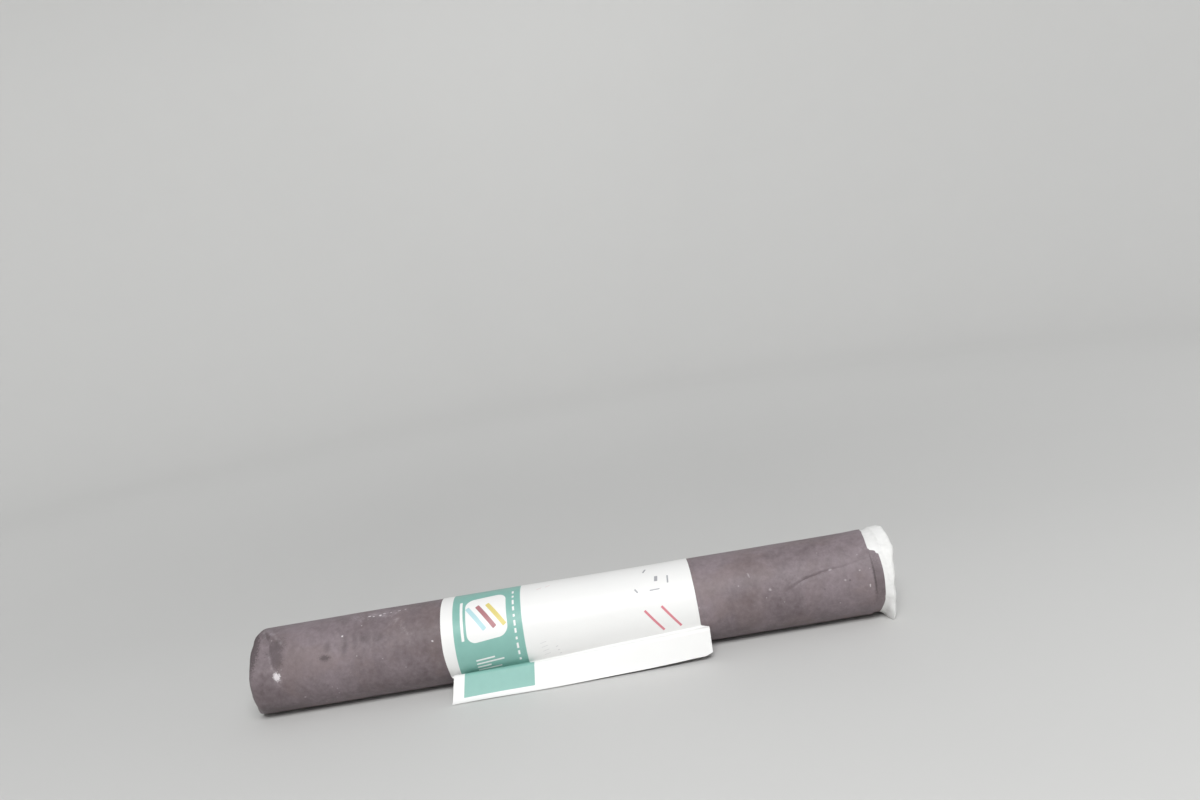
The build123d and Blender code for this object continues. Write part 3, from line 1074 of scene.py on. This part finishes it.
def label_shape(settings, felt, width):
    """The label's points, where they lie on the flat sheet, and its length at each place across."""
    across = np.linspace(0, width, 131)
    share = across / width
    top = math.degrees(settings.top_angle)
    left, right = math.degrees(settings.left_leaving), math.degrees(settings.right_leaving)
    leaving = left + (right - left) * share**1.1
    glued = LABEL_RADIUS * np.radians(top - leaving)
    flap = settings.left_flap + (settings.right_flap - settings.left_flap) * share
    flap += MM * waves(across, ((0.6, 17, 0), (0.4, 41, 1)))
    flap -= 0.38 * np.maximum(across - width + 11 * MM, 0)

    # Glued to the felt with slight cockles, and looser towards the flap
    down = np.linspace(0, 1, 120)[:, None]
    loose = smooth(down, 0.7, 1)
    angle = top + (leaving - top) * down
    x = LABEL_LOW.x + across + 2.2 * MM * share * down + 3 * MM * np.exp(-across / (9 * MM)) * loose
    cockle = ripple(across, angle, LABEL_WAVES)
    close = felt_outside(x, angle, felt) + LABEL_GAP + 0.4 * (cockle + 0.6 * MM)
    on_felt = on_roll(x, angle, close + loose * (LABEL_RADIUS + cockle - close))

    # The flap: creased back up over a ridge, then down to the floor at the left and hanging at the right.
    # Its points lie closer together at the crease, and its turns are in degrees.
    step = np.linspace(0, 1, 91)[:, None]
    past = (0.35 * step + 0.65 * step**2) * flap
    creased = 185 - 60 * share
    ridged = creased - 71 + 37 * share
    crease_length = settings.crease * np.radians(creased)
    to_ridge = crease_length + 3 * MM * (1 - share)
    heading = -90 - leaving - creased * np.clip(past / crease_length, 0, 1)
    heading += ridged * smooth(past, to_ridge, to_ridge + 1.5 * settings.ridge * np.radians(ridged))
    heading = np.radians((heading[1:] + heading[:-1]) / 2)
    strides = np.diff(past, axis=0)
    past = past[1:]
    start = on_felt[-1]
    y = start[:, 1] + np.cumsum(np.cos(heading) * strides, axis=0)
    above = start[:, 2] + np.cumsum(np.sin(heading) * strides, axis=0) + ROLL_RADIUS
    lift = MM * (0.5 * np.sin(14 * across) ** 2 + 0.3 * np.sin(37 * across))
    lift = lift * smooth(past, to_ridge, to_ridge + 30 * MM)
    z = np.maximum((above + np.hypot(above, 5 * MM)) / 2 + lift, 0.2 * MM) - ROLL_RADIUS
    shift = (settings.shift + 4 * MM * share) * smooth(past, 0, to_ridge)
    shift -= (0.1 - 0.06 * share) * np.maximum(past - to_ridge, 0)

    points = np.concatenate([on_felt, stacked(start[:, 0] + shift, y, z)]).swapaxes(0, 1)
    length = glued + flap
    uv = stacked(across, np.concatenate([length - glued * down, flap - past])).swapaxes(0, 1)
    return points, uv, length


class AddLabel(bpy.types.Operator):
    """Adds the paper label, glued over the top and front and loose along its lower edge."""

    bl_idname = "felt_roll.add_label"
    bl_label = "Label"

    def execute(self, context):
        settings = context.scene.label_settings
        width = LABEL_HIGH.x - LABEL_LOW.x
        points, uv, length = label_shape(settings, context.scene.felt_settings, width)
        material = build_label_material("Label paper", settings, length.max() / MM)
        sheet = add_sheet("label_sheet", points, uv, settings.thickness, OUTSIDE, material, "label", "label")
        return {"FINISHED"}


# The backdrop's floor, bend and height in metres
FLOOR_REACH, FLOOR_BEND, FLOOR_HEIGHT = 3.6, 2.0, 3.4

# Lamps: place in metres, turn in degrees, size in metres and power in watts. Four of
# them light the backdrop evenly.
LAMPS = {
    "key": ((0.3, -2.8, 3.2), (41, 0, 5), (2.4, 1.5), 140),
    "top": ((0.3, 0.4, 2.8), (0, 0, 0), (2.8, 2.2), 3),
    "backdrop_0": ((0, 2.2, 3.2), (62, 0, 0), (3.4, 1.0), 55),
    "backdrop_90": ((-2.2, 0, 3.2), (62, 0, 90), (3.4, 1.0), 55),
    "backdrop_180": ((0, -2.2, 3.2), (62, 0, 180), (3.4, 1.0), 55),
    "backdrop_270": ((2.2, 0, 3.2), (62, 0, 270), (3.4, 1.0), 55),
}
ROOM_COLOUR, ROOM_LIGHT = (0.97, 0.98, 1.0), 0.27
CAMERA_PLACE = (0.107, -1.4527, 0.5287)
SENSOR_WIDTH = 36


class AddStage(bpy.types.Operator):
    """Adds the floor with its curved backdrop, the lights and the camera."""

    bl_idname = "felt_roll.add_stage"
    bl_label = "Stage"

    def execute(self, context):
        scene = context.scene
        settings = scene.stage_settings
        material, shader, coordinates = new_material("Pale floor")
        tint = varied(noise(coordinates["Object"], 3.0), settings.floor, 0.985)
        connect(shader, {"Base Color": tint, "Roughness": 0.75})

        flat = np.linspace(0, FLOOR_REACH, 12)
        turns = np.radians(np.linspace(0, 90, 24))[1:]
        bent, risen = FLOOR_REACH + FLOOR_BEND * np.sin(turns), FLOOR_BEND * (1 - np.cos(turns))
        radius = np.concatenate([flat, bent, bent[-1:]])[:, None]
        level = np.concatenate([0 * flat, risen, [FLOOR_HEIGHT]])[:, None] - ROLL_RADIUS
        angle = np.linspace(2 * np.pi, 0, 128, endpoint=False)
        points = stacked(radius * np.cos(angle), radius * np.sin(angle), level)
        floor = link("floor", mesh_from_grid("floor", points, points[..., :2], closed=True))
        # The innermost ring becomes one point
        floor.modifiers.new("Pole", "WELD")
        as_mesh(floor).data.materials.append(material)

        for name, (place, turn, size, power) in LAMPS.items():
            lamp = bpy.data.lights.new(name, "AREA")
            lamp.shape = "RECTANGLE"
            lamp.size, lamp.size_y = size
            lamp.energy = power
            made = link(name, lamp)
            made.location = place
            made.rotation_euler = [math.radians(t) for t in turn]
            made.visible_camera = False

        scene.world = bpy.data.worlds.new("Soft room")
        scene.world.use_nodes = True
        background = scene.world.node_tree.nodes["Background"]
        connect(background, {"Color": ROOM_COLOUR, "Strength": ROOM_LIGHT})
        scene.view_settings.view_transform = "Standard"

        lens = bpy.data.cameras.new("camera")
        lens.lens = settings.lens
        lens.sensor_width = SENSOR_WIDTH
        scene.camera = link("camera", lens)
        scene.camera.location = CAMERA_PLACE
        # Turned about its view first, and then up from looking straight down
        scene.camera.rotation_mode = "ZYX"
        scene.camera.rotation_euler = (math.pi / 2 - settings.camera_pitch, 0, settings.camera_roll)
        return {"FINISHED"}


class FeltRollPanel(bpy.types.Panel):
    """Lists the pieces of the roll in the sidebar."""

    bl_idname = "VIEW3D_PT_felt_roll"
    bl_label = "Felt Roll"
    bl_space_type = "VIEW_3D"
    bl_region_type = "UI"
    bl_category = "Felt Roll"

    def draw(self, context):
        for title, settings, operators in PIECES:
            box = self.layout.box()
            box.label(text=title)
            group = getattr(context.scene, settings)
            for name in group.__annotations__:
                box.prop(group, name)
            for operator in operators:
                box.operator(operator.bl_idname)


PIECES = (
    ("Felt", "felt_settings", (AddOuterTurns, AddWoundTurns)),
    ("End wraps", "wrap_settings", (AddEndWraps,)),
    ("Label", "label_settings", (AddLabel,)),
    ("Stage", "stage_settings", (AddStage,)),
)
GROUPS = (FeltSettings, WrapSettings, LabelSettings, StageSettings)
CLASSES = (*GROUPS, AddOuterTurns, AddWoundTurns, AddEndWraps, AddLabel, AddStage, FeltRollPanel)


def register():
    """Registers the classes and puts the settings on the scene."""
    for kind in CLASSES:
        bpy.utils.register_class(kind)
    for (_, settings, _), group in zip(PIECES, GROUPS):
        setattr(bpy.types.Scene, settings, PointerProperty(type=group))


def unregister():
    """Takes the settings and the classes away again."""
    for _, settings, _ in PIECES:
        delattr(bpy.types.Scene, settings)
    for kind in reversed(CLASSES):
        bpy.utils.unregister_class(kind)


def main():
    """Builds the roll and its stage."""
    register()
    build_spot_group()
    build_felt_surface_group()
    build_crumple_group()
    build_printed_box_group()
    bpy.ops.felt_roll.add_stage()
    bpy.ops.felt_roll.add_outer_turns()
    bpy.ops.felt_roll.add_wound_turns()
    bpy.ops.felt_roll.add_end_wraps()
    bpy.ops.felt_roll.add_label()


if __name__ == "__main__":
    main()
